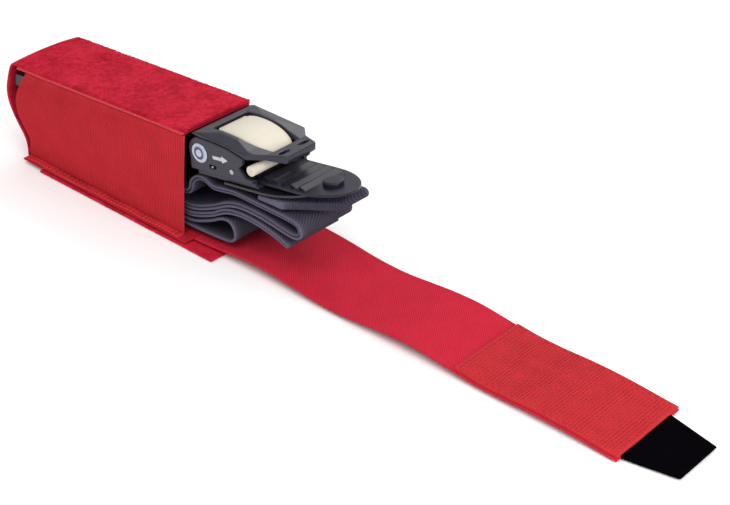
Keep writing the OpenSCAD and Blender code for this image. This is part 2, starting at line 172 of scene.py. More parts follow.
class Finish:
    def __init__(self, name, **fixed):
        self.data = bpy.data.materials.new(name)
        self.data.use_nodes = True
        self.tree = self.data.node_tree
        self.shader = self.tree.nodes["Principled BSDF"]
        for socket, value in fixed.items():
            self.shader.inputs[socket.replace("_", " ")].default_value = value

    def node(self, kind, settings, *values, out=0, **named):
        made = self.tree.nodes.new(kind)
        for key, value in settings.items():
            setattr(made, key, value)
        pairs = list(enumerate(values))
        pairs += [(key.replace("_", " "), value) for key, value in named.items()]
        for key, value in pairs:
            if isinstance(value, Wire):
                self.tree.links.new(value.socket, made.inputs[key])
            elif value is not None:
                made.inputs[key].default_value = value
        return Wire(self, made.outputs[out])

    def place(self):
        """Object coordinates in metres, as three wires."""
        point = self.node("ShaderNodeTexCoord", {}, out="Object")
        return point, [self.node("ShaderNodeSeparateXYZ", {}, point, out=i) for i in range(3)]

    def cloth(self):
        """The piece's own UV map: metres along the cloth, and metres across it."""
        point = self.node("ShaderNodeUVMap", {"uv_map": "cloth"})
        return point, [self.node("ShaderNodeSeparateXYZ", {}, point, out=i) for i in range(2)]

    def grain(self, point, scale, detail=4.0, roughness=0.6):
        return self.node(
            "ShaderNodeTexNoise", {}, point, Scale=scale, Detail=detail, Roughness=roughness)

    def mix(self, factor, *colours):
        """Colours take a Mix node, whose colour sockets come after one factor and five others."""
        pair = [c if isinstance(c, Wire) else (*c, 1) for c in colours]
        return self.node("ShaderNodeMix", {"data_type": "RGBA"}, factor, *[None] * 5, *pair, out=2)

    def bump(self, height, distance, strength=1.0):
        return self.node("ShaderNodeBump", {}, Height=height, Distance=distance, Strength=strength)

    def wear(self, **varying):
        for socket, wire in varying.items():
            self.tree.links.new(wire.socket, self.shader.inputs[socket.replace("_", " ")])
        return self.data


print("shader expressions ready")

# %% [markdown]
# ## Fabric finishes
# Woven tape is a grid of yarns, so its relief is the product of two waves, skewed for a twill. The
# yarn pitch is real, about a millimetre, and slow noise shifts the dye so no two places match.

# %% Fabric finishes
def woven(name, dark, light, pitch, skew, relief, selvedge_highlight=0.0, half=0.025, gloss=0.07):
    """Twill tape: diagonal ribs crossed by single yarns, a painted highlight along the selvedges and a
    mottled dye.
    """
    cloth = Finish(name, Roughness=0.82, Specular_IOR_Level=gloss)
    point, (along, across) = cloth.cloth()
    rib = (along + across * skew).wave(pitch * 2)
    yarn = across.wave(pitch)
    thread = along.wave(pitch * 0.8)
    relief_wire = rib * 0.6 + yarn * thread * 0.4
    fuzz = cloth.grain(point, 2600.0, 2.0)
    mottle = cloth.grain(point, 90.0, 5.0)
    shade = (relief_wire * 0.55 + fuzz * 0.3 + mottle * 0.45 - 0.15).clamp()
    colour = cloth.mix(shade, dark, light)
    # Painted highlight: a lighter band of colour along both selvedges, where their rounded edges catch
    # the light.
    if selvedge_highlight:
        rim = (across.maths("ABSOLUTE", across) * (1.0 / half)).power(14.0).clamp() * selvedge_highlight
        colour = cloth.mix(rim, colour, [min(1.0, c * 2.2) for c in light])
    return cloth.wear(
        Base_Color=colour, Roughness=0.72 + mottle * 0.2,
        Normal=cloth.bump(relief_wire + fuzz * 0.35, relief))


def napped(name, dark, light):
    """Brushed loop pile: no weave shows, only clumps of pile and a soft mottle."""
    pile = Finish(name, Roughness=0.95, Sheen_Weight=0.03, Sheen_Roughness=0.4, Specular_IOR_Level=0.04)
    point, _ = pile.place()
    clumps = pile.grain(point, 330.0, 6.0, 0.7)
    hairs = pile.grain(point, 1500.0, 3.0, 0.8)
    worn = pile.grain(point, 60.0, 5.0)
    shade = ((clumps - 0.5) * 1.9 + (hairs - 0.5) * 0.8 + (worn - 0.5) * 1.5 + 0.5).clamp()
    return pile.wear(
        Base_Color=pile.mix(shade, dark, light), Roughness=0.85 + hairs * 0.14,
        Normal=pile.bump(clumps + hairs * 0.6, 0.0006))


def ribbed_elastic(name, dark, light, pitch):
    """Side elastic: the ribs are modelled, and the finish paints shade into the furrows between them
    and roughens yarn.
    """
    tape = Finish(name, Roughness=0.7, Specular_IOR_Level=0.08)
    point, (along, _) = tape.cloth()
    rib = along.maths("COSINE", along * (2 * math.pi / pitch)) * 0.5 + 0.5
    yarn = tape.grain(tape.node("ShaderNodeMapping", {}, point, Scale=(1.0, 0.35, 1.0)), 1900.0, 3.0)
    mottle = tape.grain(point, 70.0, 5.0)
    # Painted shade: the rib wave darkens the colour in the furrows between the ribs.
    shade = (rib * 0.5 + mottle * 0.45 + yarn * 0.3 - 0.18).clamp()
    return tape.wear(
        Base_Color=tape.mix(shade, dark, light), Roughness=0.62 + mottle * 0.25,
        Normal=tape.bump(rib * 0.6 + yarn * 0.5, 0.00018))


def hook_face(name, dark, light):
    """Hook tape: rows of moulded hooks on a stiff ground, a warmer and glossier red than the strap."""
    face = Finish(name, Roughness=0.5, Specular_IOR_Level=0.12)
    point, (x, y, _) = face.place()
    row = x.wave(0.0016)
    column = y.wave(0.0014)
    mottle = face.grain(point, 160.0, 4.0)
    shade = (row * column * 0.5 + mottle * 0.6 - 0.05).clamp()
    return face.wear(
        Base_Color=face.mix(shade, dark, light), Roughness=0.42 + mottle * 0.3,
        Normal=face.bump(row * column + mottle * 0.3, 0.0002))


def sewing_thread(name, dark, light):
    """Twisted polyester thread: a tight spiral and a slight shine."""
    strand = Finish(name, Roughness=0.6, Specular_IOR_Level=0.15)
    point, _ = strand.place()
    twist = strand.grain(point, 2600.0, 2.0)
    dye = strand.grain(point, 200.0, 3.0)
    return strand.wear(
        Base_Color=strand.mix((twist * 0.7 + dye * 0.4 - 0.05).clamp(), dark, light),
        Roughness=0.45 + dye * 0.2, Normal=strand.bump(twist, 0.00005))


RED_TAPE = woven("red_twill", (0.33, 0.006, 0.018), (0.63, 0.028, 0.057), 0.00075, 1.0, 0.00016)
RED_BASE = woven("red_base_twill", (0.27, 0.005, 0.012), (0.52, 0.020, 0.034), 0.0009, 0.0, 0.00012)
CHARCOAL = woven(
    "charcoal_twill", (0.008, 0.0073, 0.012), (0.084, 0.075, 0.110), 0.0009, 0.75, 0.0003, 0.5,
    WEB_HALF * MM)
BLACK_TAPE = woven(
    "black_tape", (0.0007, 0.0004, 0.0009), (0.0040, 0.0030, 0.0046), 0.0006, 0.0, 0.0001, gloss=0.0)
LOOP_PILE = napped("crimson_loop_pile", (0.30, 0.003, 0.012), (0.64, 0.020, 0.052))
FLAP_PILE = napped("belt_loop_pile", (0.35, 0.004, 0.016), (0.72, 0.021, 0.056))
RIB_PITCH = 1.25
ELASTIC = ribbed_elastic(
    "red_ribbed_elastic", (0.28, 0.007, 0.011), (0.63, 0.033, 0.048), RIB_PITCH * MM)
ELASTIC_FLAT = woven("hem_elastic", (0.36, 0.013, 0.018), (0.70, 0.048, 0.058), 0.00125, 0.0, 0.0002)
EDGE_ROLL = woven("overlocked_edge", (0.42, 0.024, 0.034), (0.72, 0.085, 0.095), 0.0011, 0.6, 0.0003)
THREAD_RED = sewing_thread("seam_thread", (0.13, 0.002, 0.005), (0.34, 0.009, 0.014))
THREAD_ORANGE = sewing_thread("patch_thread", (0.26, 0.006, 0.010), (0.52, 0.028, 0.034))
HOOKS = hook_face("orange_hook_tape", (0.33, 0.009, 0.013), (0.60, 0.032, 0.041))
print("fabric finishes:", len(bpy.data.materials))

# %% [markdown]
# ## Moulded and metal finishes
# Moulded nylon is dark and satin, with a fine spark-eroded texture that breaks up its highlights and
# scuffs that lighten it. The cream lever is the same process in a milky plastic that light enters.

# %% Moulded and metal finishes
def moulded(name, dark, light, rough, texture, **fixed):
    part = Finish(name, Roughness=rough, **fixed)
    point, _ = part.place()
    spark = part.grain(point, 2200.0, 3.0, 0.7)
    flow = part.grain(point, 110.0, 5.0)
    scuff = part.node(
        "ShaderNodeTexNoise", {}, part.node("ShaderNodeMapping", {}, point, Scale=(1.0, 5.0, 1.0)),
        Scale=260.0, Detail=6.0, Roughness=0.75)
    mark = ((scuff - 0.58) * 5.0).clamp()
    shade = (flow * 0.6 + spark * 0.25 + mark * 0.5 - 0.1).clamp()
    return part.wear(
        Base_Color=part.mix(shade, dark, light), Roughness=(rough - 0.08) + flow * 0.12 + mark * 0.14,
        Normal=part.bump(spark + scuff * 0.3, texture))


def metal(name, colour, rough):
    part = Finish(name, Metallic=1.0, Roughness=rough, Specular_IOR_Level=0.5)
    point, _ = part.place()
    turned = part.grain(part.node("ShaderNodeMapping", {}, point, Scale=(1.0, 12.0, 1.0)), 900.0, 4.0)
    handled = part.grain(point, 240.0, 4.0)
    return part.wear(
        Base_Color=part.mix(handled, [c * 0.72 for c in colour], colour),
        Roughness=(rough - 0.06) + turned * 0.2, Normal=part.bump(turned, 0.00004))


RING_IN = (0.0019, 0.0024)
RING_OUT = (0.0030, 0.0036)


def axle_cap(name, dark, light):
    """A plated cap with a sunk ring round its centre, whose colour is darkened there by painted shade.
    """
    cap = Finish(name, Metallic=1.0, Roughness=0.3)
    point, (x, _, z) = cap.place()
    off_x, off_z = x - PIVOT_X * MM, z - PIVOT_Z * MM
    reach = (off_x * off_x + off_z * off_z).power(0.5)
    smooth = {"interpolation_type": "SMOOTHSTEP"}
    # Painted shade: this ring mask darkens the colour inside the sunk ring; it also sets the ring's
    # roughness and relief.
    sunk_ring_shade = cap.node("ShaderNodeMapRange", smooth, reach, *RING_IN)
    sunk_ring_shade = sunk_ring_shade - cap.node("ShaderNodeMapRange", smooth, reach, *RING_OUT)
    haze = cap.grain(point, 500.0, 4.0)
    return cap.wear(
        Base_Color=cap.mix((1 - sunk_ring_shade * 0.9) * (0.7 + haze * 0.3), dark, light),
        Roughness=0.24 + haze * 0.16 + sunk_ring_shade * 0.2, Normal=cap.bump(1 - sunk_ring_shade, 0.0004))


BUCKLE_BLACK = moulded(
    "buckle_nylon", (0.010, 0.0095, 0.017), (0.040, 0.037, 0.062), 0.34, 0.00003,
    Coat_Weight=0.2, Coat_Roughness=0.18, Specular_IOR_Level=0.28)
LADDER_BLACK = moulded(
    "ladder_nylon", (0.006, 0.0052, 0.011), (0.024, 0.021, 0.040), 0.33, 0.00003,
    Coat_Weight=0.1, Coat_Roughness=0.18, Specular_IOR_Level=0.2)
TONGUE_BLACK = moulded("tongue_nylon", (0.004, 0.004, 0.006), (0.02, 0.02, 0.028), 0.3, 0.00002)
CREAM = moulded(
    "cream_nylon", (0.53, 0.48, 0.38), (0.71, 0.665, 0.56), 0.45, 0.00005,
    Subsurface_Weight=0.1, Subsurface_Scale=0.002)
PRINT = moulded("white_print", (0.42, 0.42, 0.47), (0.62, 0.62, 0.68), 0.6, 0.00002)
STEEL = metal("bright_steel", (0.50, 0.51, 0.55), 0.3)
CHROME = axle_cap("plated_cap", (0.07, 0.075, 0.10), (0.54, 0.58, 0.72))
print("finishes:", len(bpy.data.materials))

# %% [markdown]
# ## Helpers for finished pieces
# Every new piece ends the same way: its mesh is written, its finish and shading set, and it is told
# which body it rides on. The mesh keeps its place in its own points, so objects stay at the origin.

# %% Finishing a piece
def finished(name, shape, finish, body, stands_for=(), smooth_angle=35.0):
    data = bpy.data.meshes.new(name)
    shape.to_mesh(data)
    shape.free()
    data.materials.append(finish)
    data.shade_smooth()
    data.set_sharp_from_angle(angle=math.radians(smooth_angle))
    piece = placed(name, data)
    if body:
        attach(piece, body)
    if stands_for:
        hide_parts(*stands_for)
    return piece


PACKED_MERGE = 2e-6
FLAT_WITHIN = math.radians(0.6)


def close_holes(shape):
    bmesh.ops.holes_fill(shape, edges=[e for e in shape.edges if e.is_boundary], sides=0)


def triangulate_wide(shape):
    """Faces of more than four corners shade badly, so they are cut into triangles."""
    bmesh.ops.triangulate(shape, faces=[f for f in shape.faces if len(f.verts) > 4])


def rounded(shape, sharp, radius, segments, **more):
    """Gives every edge sharper than so many degrees a radius in millimetres."""
    edges = [e for e in shape.edges if e.is_manifold and e.calc_face_angle(0) > math.radians(sharp)]
    bmesh.ops.bevel(
        shape, geom=edges, offset=radius * MM, segments=segments, profile=0.5, affect="EDGES",
        material=-1, clamp_overlap=True, **more)


def packed_copy(node, keep=None):
    """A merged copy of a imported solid, cut by a plane where only one side of it is kept."""
    shape = bmesh.new()
    shape.from_mesh(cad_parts[node].data)
    bmesh.ops.remove_doubles(shape, verts=shape.verts, dist=PACKED_MERGE)
    if keep:
        bmesh.ops.bisect_plane(
            shape, geom=shape.faces[:] + shape.edges[:] + shape.verts[:], dist=1e-7,
            plane_co=Vector(keep[0]) * MM, plane_no=keep[1], clear_outer=True)
        close_holes(shape)
    bmesh.ops.dissolve_limit(
        shape, angle_limit=FLAT_WITHIN, verts=shape.verts, edges=shape.edges,
        use_dissolve_boundaries=False)
    return shape


def spaced(start, end, count):
    """Values from start to end in even steps."""
    return [start + (end - start) * i / count for i in range(count + 1)]


def eased(a, b, c, d, t):
    """A Catmull-Rom step: the value a share t of the way from b to c, with a and d beside them."""
    square = 2 * a - 5 * b + 4 * c - d
    cube = 3 * b - a - 3 * c + d
    return 0.5 * (2 * b + (c - a) * t + square * t * t + cube * t ** 3)


def curve_through(points, steps=8):
    """A smooth run of points through given ones."""
    run = []
    last = len(points) - 1
    for i in range(last):
        four = [Vector(points[max(0, min(last, k))]) for k in (i - 1, i, i + 1, i + 2)]
        run += [eased(*four, step / steps) for step in range(steps)]
    return run + [Vector(points[last])]


BATCH = 120


def stamped(name, places, form, finish, body):
    """One small form at many places, in batches, because a full bmesh slows every operator."""
    whole = bmesh.new()
    for start in range(0, len(places), BATCH):
        batch = bmesh.new()
        for place in places[start:start + BATCH]:
            form(batch, place)
        data = bpy.data.meshes.new("batch")
        batch.to_mesh(data)
        batch.free()
        whole.from_mesh(data)
        bpy.data.meshes.remove(data)
    return finished(name, whole, finish, body)


def smooth_between(pairs, at):
    """Reading of a short table of (place, value), eased between its entries."""
    if at <= pairs[0][0]:
        return pairs[0][1]
    for i, ((a, first), (b, second)) in enumerate(zip(pairs, pairs[1:])):
        if at <= b:
            before = pairs[max(0, i - 1)][1]
            after = pairs[min(len(pairs) - 1, i + 2)][1]
            return eased(before, first, second, after, (at - a) / (b - a))
    return pairs[-1][1]


class Route:
    """A side-view run of points, x in front of the mouth and z, read by the distance along it."""

    def __init__(self, points):
        self.points = [Vector(p) for p in points]
        self.lengths = [0.0]
        for a, b in zip(self.points, self.points[1:]):
            self.lengths.append(self.lengths[-1] + (b - a).length)
        self.total = self.lengths[-1]

    def at(self, distance):
        i = min(len(self.points) - 2, max(0, bisect_right(self.lengths, distance) - 1))
        part = (distance - self.lengths[i]) / (self.lengths[i + 1] - self.lengths[i])
        return self.points[i].lerp(self.points[i + 1], part)

    def normal(self, distance, reach=0.5):
        ahead = self.at(min(self.total, distance + reach)) - self.at(max(0.0, distance - reach))
        return Vector((-ahead.y, ahead.x)).normalized()

    def moved(self, offset):
        """The same route moved off to one side, for the next layer of a stack."""
        return Route([p + self.normal(d) * offset for p, d in zip(self.points, self.lengths)])


print("helpers ready")

# %% [markdown]
# ## Webbing
# A length of webbing is one cross-section, flat with rounded selvedges, swept along a side-view route.
# A grid operator gives the faces and each row is laid round the section; the seam is then merged and
# both ends are closed. Its UV map is in metres, so the weave follows every fold at its true pitch.

# %% Webbing
END_STEPS = (0.0, 0.12, 0.4, 0.75)
END_FLATNESS = 0.2
SWAY_ALONG, SWAY_ACROSS = 0.06, 0.05
FUZZ_GRAIN = 1.1
SAME_POINT = 1e-6


def tape_section(width, thick, across):
    """Closed outline of the tape as (side, up): top, right selvedge, bottom, left selvedge."""
    half, lift = width / 2 - thick / 2, thick / 2
    count = max(4, round(2 * half / across))
    top = [(s, lift) for s in spaced(-half, half, count)]
    turn = [math.radians(a) for a in (67.5, 45, 22.5, 0, -22.5, -45, -67.5)]
    right = [(half + lift * math.cos(a), lift * math.sin(a)) for a in turn]
    return top + right + [(-s, -u) for s, u in top] + [(-s, -u) for s, u in right]


def stations(total, step, radius, round_start, round_end):
    """Distances along a tape at which a section stands, closer together at rounded ends."""
    start = radius if round_start else 0.0
    end = total - (radius if round_end else 0.0)
    count = max(2, round((end - start) / step))
    middle = spaced(start, end, count)
    first = [radius * e for e in END_STEPS] if round_start else []
    last = [total - radius * e for e in reversed(END_STEPS)] if round_end else []
    return first + middle + last


def tape(name, route, width, thick, finish, body, slot, stands_for=(), side=0.0, step=1.0, across=1.5,
         ripple=0.0, fuzz=0.0, crown=None, starts_at=0.0, round_start=True, round_end=True):
    """Sweeps a tape along a route. Width is a number, or a function of the share of the length; crown
    gives a lift from the distance along and the share across."""
    radius = thick / 2
    stands = stations(route.total, step, radius, round_start, round_end)
    widest = width(0.0) if callable(width) else width
    ring = tape_section(widest, thick, across)
    rows, columns = len(stands) - 1, len(ring)
    shape = bmesh.new()
    weave = shape.loops.layers.uv.new("cloth")
    bmesh.ops.create_grid(shape, x_segments=rows, y_segments=columns, size=1.0)
    cell = {v: (round((v.co.x + 1) / 2 * rows), round((v.co.y + 1) / 2 * columns)) for v in shape.verts}
    for face in shape.faces:
        for loop in face.loops:
            i, j = cell[loop.vert]
            loop[weave].uv = ((starts_at + stands[i]) * MM, ring[j % columns][0] * MM)
    for vert, (i, j) in cell.items():
        distance = stands[i]
        here, normal = route.at(distance), route.normal(distance)
        from_start = distance if round_start else radius
        from_end = min(from_start, route.total - distance if round_end else radius)
        share = max(0.0, 1 - min(1.0, from_end / radius)) if radius else 0.0
        roundness = max(END_FLATNESS, math.sqrt(max(0.0, 1 - share * share)))
        s, up = ring[j % columns]
        along = starts_at + distance
        narrow = width(distance / route.total) / widest if callable(width) else 1.0
        sway = noise.noise(Vector((along * SWAY_ALONG, s * SWAY_ACROSS, side + thick))) * ripple
        sway += crown(distance, 2 * s / widest) if crown else 0.0
        rough = noise.noise(Vector((along * FUZZ_GRAIN, s * FUZZ_GRAIN, up))) * fuzz
        point = here + normal * (up * roundness + sway + (rough if up > 0 else 0.0))
        y = side + s * narrow + (rough if abs(up) < thick * 0.49 else 0.0)
        vert.co = Vector((point.x + DATUM, y, point.y)) * MM
    bmesh.ops.remove_doubles(shape, verts=shape.verts, dist=SAME_POINT)
    close_holes(shape)
    bmesh.ops.recalc_face_normals(shape, faces=shape.faces)
    return finished(name, shape, finish, body, stands_for, 60.0)


WEB_W = 2 * WEB_HALF
BAND_SLOT = "webbing_charcoal"
print("webbing width", round(WEB_W, 2), "mm")

# %% [markdown]
# ### The folded limb band
# The band is stowed as a zigzag. Where it lies doubled, two layers of tape are swept beside each other
# so their selvedges show as separate lines, as real folded webbing does.

# %% The folded limb band
LAYER = 1.45
LAYER_APART = 0.85
FOLD_HALF = 0.82


def charcoal_band(name, route, thick, stands_for=(), side=0.0, width=0.0, ripple=0.22, body="buckle"):
    return tape(
        name, route, width or WEB_W - 0.3, thick, CHARCOAL, body, BAND_SLOT, stands_for, side=side,
        ripple=ripple)


upper_route = Route(curve_through([
    (-16, 25.6), (-6, 26.4), (-2.4, 29), (-1, 34), (3, 37.8), (8, 38.6), (14, 36.6), (21, 37.6),
    (30, 39.2), (46, 39.4), (62, 39.4), (71, 38.6), (74, 35.6), (73.4, 32.4), (69, 31),
    (60, 31.8), (47, 33.4), (34, 33), (24, 30.4), (12, 24), (-1, 18.9), (-14, 18)]))
charcoal_band("band_upper_outer", upper_route.moved(LAYER_APART), LAYER, ["webbing_upper_band"])
charcoal_band("band_upper_inner", upper_route.moved(-LAYER_APART), LAYER, side=0.2, width=WEB_W - 0.8)
lower_route = Route(curve_through([
    (-14, 14.2), (-1, 14.8), (12, 19.8), (23, 26), (34, 28.4), (46, 28.4), (57, 26.4), (64, 24.4),
    (65.6, 23.9)]))
fold_centre = lower_route.points[-1]
fold_heading = lower_route.normal(lower_route.total)
turns = [Matrix.Rotation(-math.radians(angle), 2) for angle in range(15, 180, 15)]
fold_turn = [fold_centre + turn @ fold_heading * FOLD_HALF for turn in turns]
lower_fold = lower_route.moved(FOLD_HALF).points + fold_turn
lower_fold += lower_route.moved(-FOLD_HALF).points[::-1]
charcoal_band("band_lower_fold", Route(lower_fold), LAYER, ["webbing_lower_fold"], side=-0.1)
loop_route = Route(curve_through([
    (-14, 10.4), (-1, 10.8), (11, 15.6), (20, 20.4), (26, 20.6), (29, 17), (29.2, 12.6), (26, 9.6),
    (18, 8.4), (8, 7.6), (-2, 7.2), (-14, 7)]))
charcoal_band("band_low_loop", loop_route, 1.7, ["webbing_low_loop"])
print("band in sight", round(2 * upper_route.total + 2 * lower_route.total + loop_route.total), "mm")

# %% [markdown]
# ### The skewed top fold
# Under the ladder's nose the band's last fold lies askew, so its corner points out to the right. The
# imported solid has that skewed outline; a copy is rounded and given a weave laid flat over it.

# %% The skewed top fold
FOLD_RADIUS = 0.9
fold_shape = packed_copy("webbing_top_fold")
rounded(fold_shape, 35, FOLD_RADIUS, 4)
triangulate_wide(fold_shape)
fold_weave = fold_shape.loops.layers.uv.new("cloth")
fold_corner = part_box("webbing_top_fold")[0]
for face in fold_shape.faces:
    for loop in face.loops:
        place = loop.vert.co
        loop[fold_weave].uv = (place.x - fold_corner[0] + place.z - fold_corner[2], place.y)
finished("band_top_fold", fold_shape, CHARCOAL, "buckle", ["webbing_top_fold"], 50.0)
print("top fold rounded")

# %% [markdown]
# ### The band inside the sleeve
# Out of sight the band goes on as flat folds, one above the other, and its rear end runs up through
# the slide buckle. Each fold is a tape that doubles back on itself.

# %% The band inside the sleeve
BEND_TO_STRAIGHT = 14
stack_rear = low("webbing_inner_stack", 0) - DATUM
stack_front = high("webbing_inner_stack", 0) - DATUM


def flat_fold(name, rear, bottom, top, stands_for=()):
    radius = (top - bottom) / 2
    centre = Vector((rear + radius, (top + bottom) / 2))
    bend = [math.radians(90 + 15 * k) for k in range(13)]
    route = [Vector((stack_front, top)), centre + Vector((BEND_TO_STRAIGHT, radius))]
    route += [centre + Vector((math.cos(a), math.sin(a))) * radius for a in bend]
    route += [centre + Vector((BEND_TO_STRAIGHT, -radius)), Vector((stack_front, bottom))]
    return charcoal_band(name, Route(route), 1.5, stands_for)


flat_fold("band_stack_1", stack_rear + 0.8, 6.7, 12.7, ["webbing_inner_stack"])
flat_fold("band_stack_2", stack_rear + 3.4, 8.6, 10.8)
flat_fold("band_stack_3", stack_rear + 4.8, 14.9, 19.5)

# The rear loop is drawn with its lead ending at LOOP_FRONT; past LOOP_BEND it is drawn out to fit.
LOOP_BEND = 9
LOOP_FRONT = 66.5
LOOP_REAR = -6.3
lead_end = high("webbing_rear_loop", 0) - REAR
stretch = (lead_end - LOOP_BEND) / (LOOP_FRONT - LOOP_BEND)
rear_curve = curve_through([
    (LOOP_FRONT, 30.7), (50, 33), (31.7, 38.6), (19.7, 41.8), (8, 44.9), (-2.3, 47.7), (-5.9, 46.6),
    (LOOP_REAR, 43.8), (-2.3, 42), (9, 37), (18, 29), (26, 23.2)])


def drawn_out(x):
    return LOOP_BEND + (x - LOOP_BEND) * stretch if x > LOOP_BEND else x


rear_run = [Vector((drawn_out(p.x), p.y)) + Vector((REAR - DATUM, 0)) for p in rear_curve]
charcoal_band("band_rear_loop", Route(rear_run), 1.9, ["webbing_rear_loop"])
LEAD_INSET = 1.2
lead_low = Vector((low("ladder_lead", 0) - DATUM + 0.4, low("ladder_lead", 2) + LEAD_INSET))
lead_length = high("ladder_lead", 0) - low("ladder_lead", 0) - LEAD_INSET
lead_run = Vector((math.cos(LEAN), math.sin(LEAN))) * lead_length
charcoal_band("ladder_lead_tape", Route([lead_low, lead_low + lead_run / 2, lead_low + lead_run]), 2.0,
              ["ladder_lead"], body="ladder", ripple=0.0)
print("rear end of the band at", round(REAR + LOOP_REAR, 1), "mm")

# %% [markdown]
# ## The closing strap
# One strap runs out of the mouth, lies in slow waves and ends in the hook patch. It bends at two folds;
# here it is made as two lengths that meet between the folds, and neither is set to bend. The weave is
# numbered from the mouth in both, so the meeting line does not show.

# %% The closing strap
STRAP_THICK = 1.6
WAVE_LENGTH = 97.0
WAVE_HEIGHT = 3.4
STRAP_REST = 2.6
STRAP_FADE = 80
END_DIP = 1.3
STRAP_START = 2.5
STRAP_MEET = (FOLD_1 + FOLD_2) / 2


def strap_height(out):
    """Middle of the strap above the rest face, at a distance in front of the mouth."""
    fade = min(1.0, (STRAP_END - out) / STRAP_FADE)
    dip = END_DIP * max(0.0, (out - FOLD_2) / (STRAP_END - FOLD_2)) ** 2
    wave = (1 + math.cos(2 * math.pi * (out - FOLD_1 + WAVE_LENGTH / 2) / WAVE_LENGTH)) / 2
    return STRAP_REST - dip + WAVE_HEIGHT * wave * fade


def strap_route(start, end, lift=0.0):
    line = spaced(start, end, round(end - start))
    return Route([(x, strap_height(x)) for x in line]).moved(lift)


def strap_piece(name, route, nodes, **ends):
    return tape(name, route, STRAP_W, STRAP_THICK, RED_TAPE, None, "red_webbing", nodes,
                side=STRAP_Y, across=1.2, ripple=0.22, **ends)


near_route = strap_route(STRAP_START, STRAP_MEET)
far_route = strap_route(STRAP_MEET, STRAP_END)
strap_near = strap_piece("strap_near_mouth", near_route, ["strap_root"], round_end=False)
strap_far = strap_piece(
    "strap_hook_end", far_route, ["strap_riser", "strap_flap"], starts_at=near_route.total,
    round_start=False)


def bend_over(piece, fold):
    """Bakes a strap piece's placement into its points; it does not bend the piece."""
    height = strap_height(fold) * MM
    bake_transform(piece)


bend_over(strap_near, FOLD_1)
bend_over(strap_far, FOLD_2)
print("strap", round(STRAP_END, 1), "mm long in front of the mouth")

# %% [markdown]
# ### Hook patch and pull tab
# The hook patch is a stiffer tape sewn over the strap's end; its thicker rolled front edge is not
# modelled. Its
# hooks are real: short leaning stubs in rows, few enough faces each that over a thousand cost little.

# %% Hook patch and pull tab
PATCH_THICK = 1.4
patch_route = strap_route(PATCH_START, STRAP_END - 0.2, (STRAP_THICK + PATCH_THICK) / 2)
PATCH_W = STRAP_W - 0.8
tape(
    "hook_patch_ground", patch_route, PATCH_W, PATCH_THICK, HOOKS, "flap", "hook_orange",
    ["hook_patch"], side=STRAP_Y, across=1.2, ripple=0.12)
TAB_IN = 41.6
TAB_OUT = 29.6
TAB_THICK = 1.5
TAB_UNDER = 1.5
tab_start = low("pull_tab", 0) - DATUM
tab_end = high("pull_tab", 0) - DATUM
TAB_Y = (low("pull_tab", 1) + high("pull_tab", 1)) / 2
tab_height = strap_height(STRAP_END)
tab_route = Route([(x, tab_height) for x in (tab_start - TAB_UNDER, tab_start + 9, tab_end)])
tape(
    "pull_tab_tape", tab_route, lambda share: TAB_IN + (TAB_OUT - TAB_IN) * share, TAB_THICK,
    BLACK_TAPE, "flap", "tab_black", ["pull_tab"], side=TAB_Y, across=1.5, ripple=0.15)


HOOK_MARGIN = 2.5
HOOK_ROW = 1.75
HOOK_COLUMN = 1.55
HOOK_TALL = 0.75
HOOK_LIFT = 0.28
HOOK_LEAN = 0.55


def pointing(direction):
    """The turn that makes a form stand along a direction."""
    return direction.to_track_quat("Z", "Y").to_matrix().to_4x4()


def hook_places(route, width, side, lift):
    """Where each hook stands and leans; neighbours lean opposite ways, as moulded hooks do."""
    places = []
    long = route.total - 2 * HOOK_MARGIN
    wide = width - 2 * HOOK_MARGIN
    rows = int(long / HOOK_ROW)
    columns = int(wide / HOOK_COLUMN)
    for i in range(rows + 1):
        distance = HOOK_MARGIN + long * i / rows
        here, up = route.at(distance), route.normal(distance)
        for j in range(columns + 1):
            y = side - width / 2 + HOOK_MARGIN + wide * j / columns + random.uniform(-0.1, 0.1)
            middle = Vector((here.x + DATUM, y, here.y)) + Vector((up.x, 0, up.y)) * (lift + HOOK_LIFT)
            sideways = HOOK_LEAN * (-1) ** (i + j) + random.uniform(-0.2, 0.2)
            lean = Vector((up.x + random.uniform(-0.3, 0.3), sideways, up.y))
            places.append(Matrix.Translation(middle * MM) @ pointing(lean))
    return places


def hook(shape, place):
    bmesh.ops.create_cone(
        shape, cap_ends=True, segments=4, radius1=0.30 * MM, radius2=0.17 * MM, depth=HOOK_TALL * MM,
        matrix=place)


stamped("patch_hooks", hook_places(patch_route, PATCH_W, STRAP_Y, PATCH_THICK / 2), hook, HOOKS, "flap")
print("hook patch", round(patch_route.total, 1), "mm long")

# %% [markdown]
# ## The sleeve's side walls
# Wide ribbed elastic makes each wall. A grid is laid over the wall's outline, its columns close enough
# to raise every rib, and the cloth swells a little between its sewn edges. An extrude straight inwards
# gives it thickness, because an offset square to each rib would fold the inner face through itself.
# A bevel then rounds the turned edges.

# %% The sleeve's side walls
TOP_CUT = 3.0
WALL_THICK = 1.3
WALL_ROWS = 26
RIB_HEIGHT = 0.14
MOUTH_LEAN = 2.6
HEM_RADIUS = 0.35
rear_edge = [
    (BASE_TOP, REAR + 5.7), (14, REAR + 6.6), (19.6, REAR + 3), (26, REAR - 1.6), (33, REAR - 3),
    (39, REAR - 1.9), (48, REAR + 2.8), (REAR_TOP - TOP_CUT, REAR + 7.3)]


def panel_top(x):
    return REAR_TOP + TOP_SLOPE * (x - REAR)


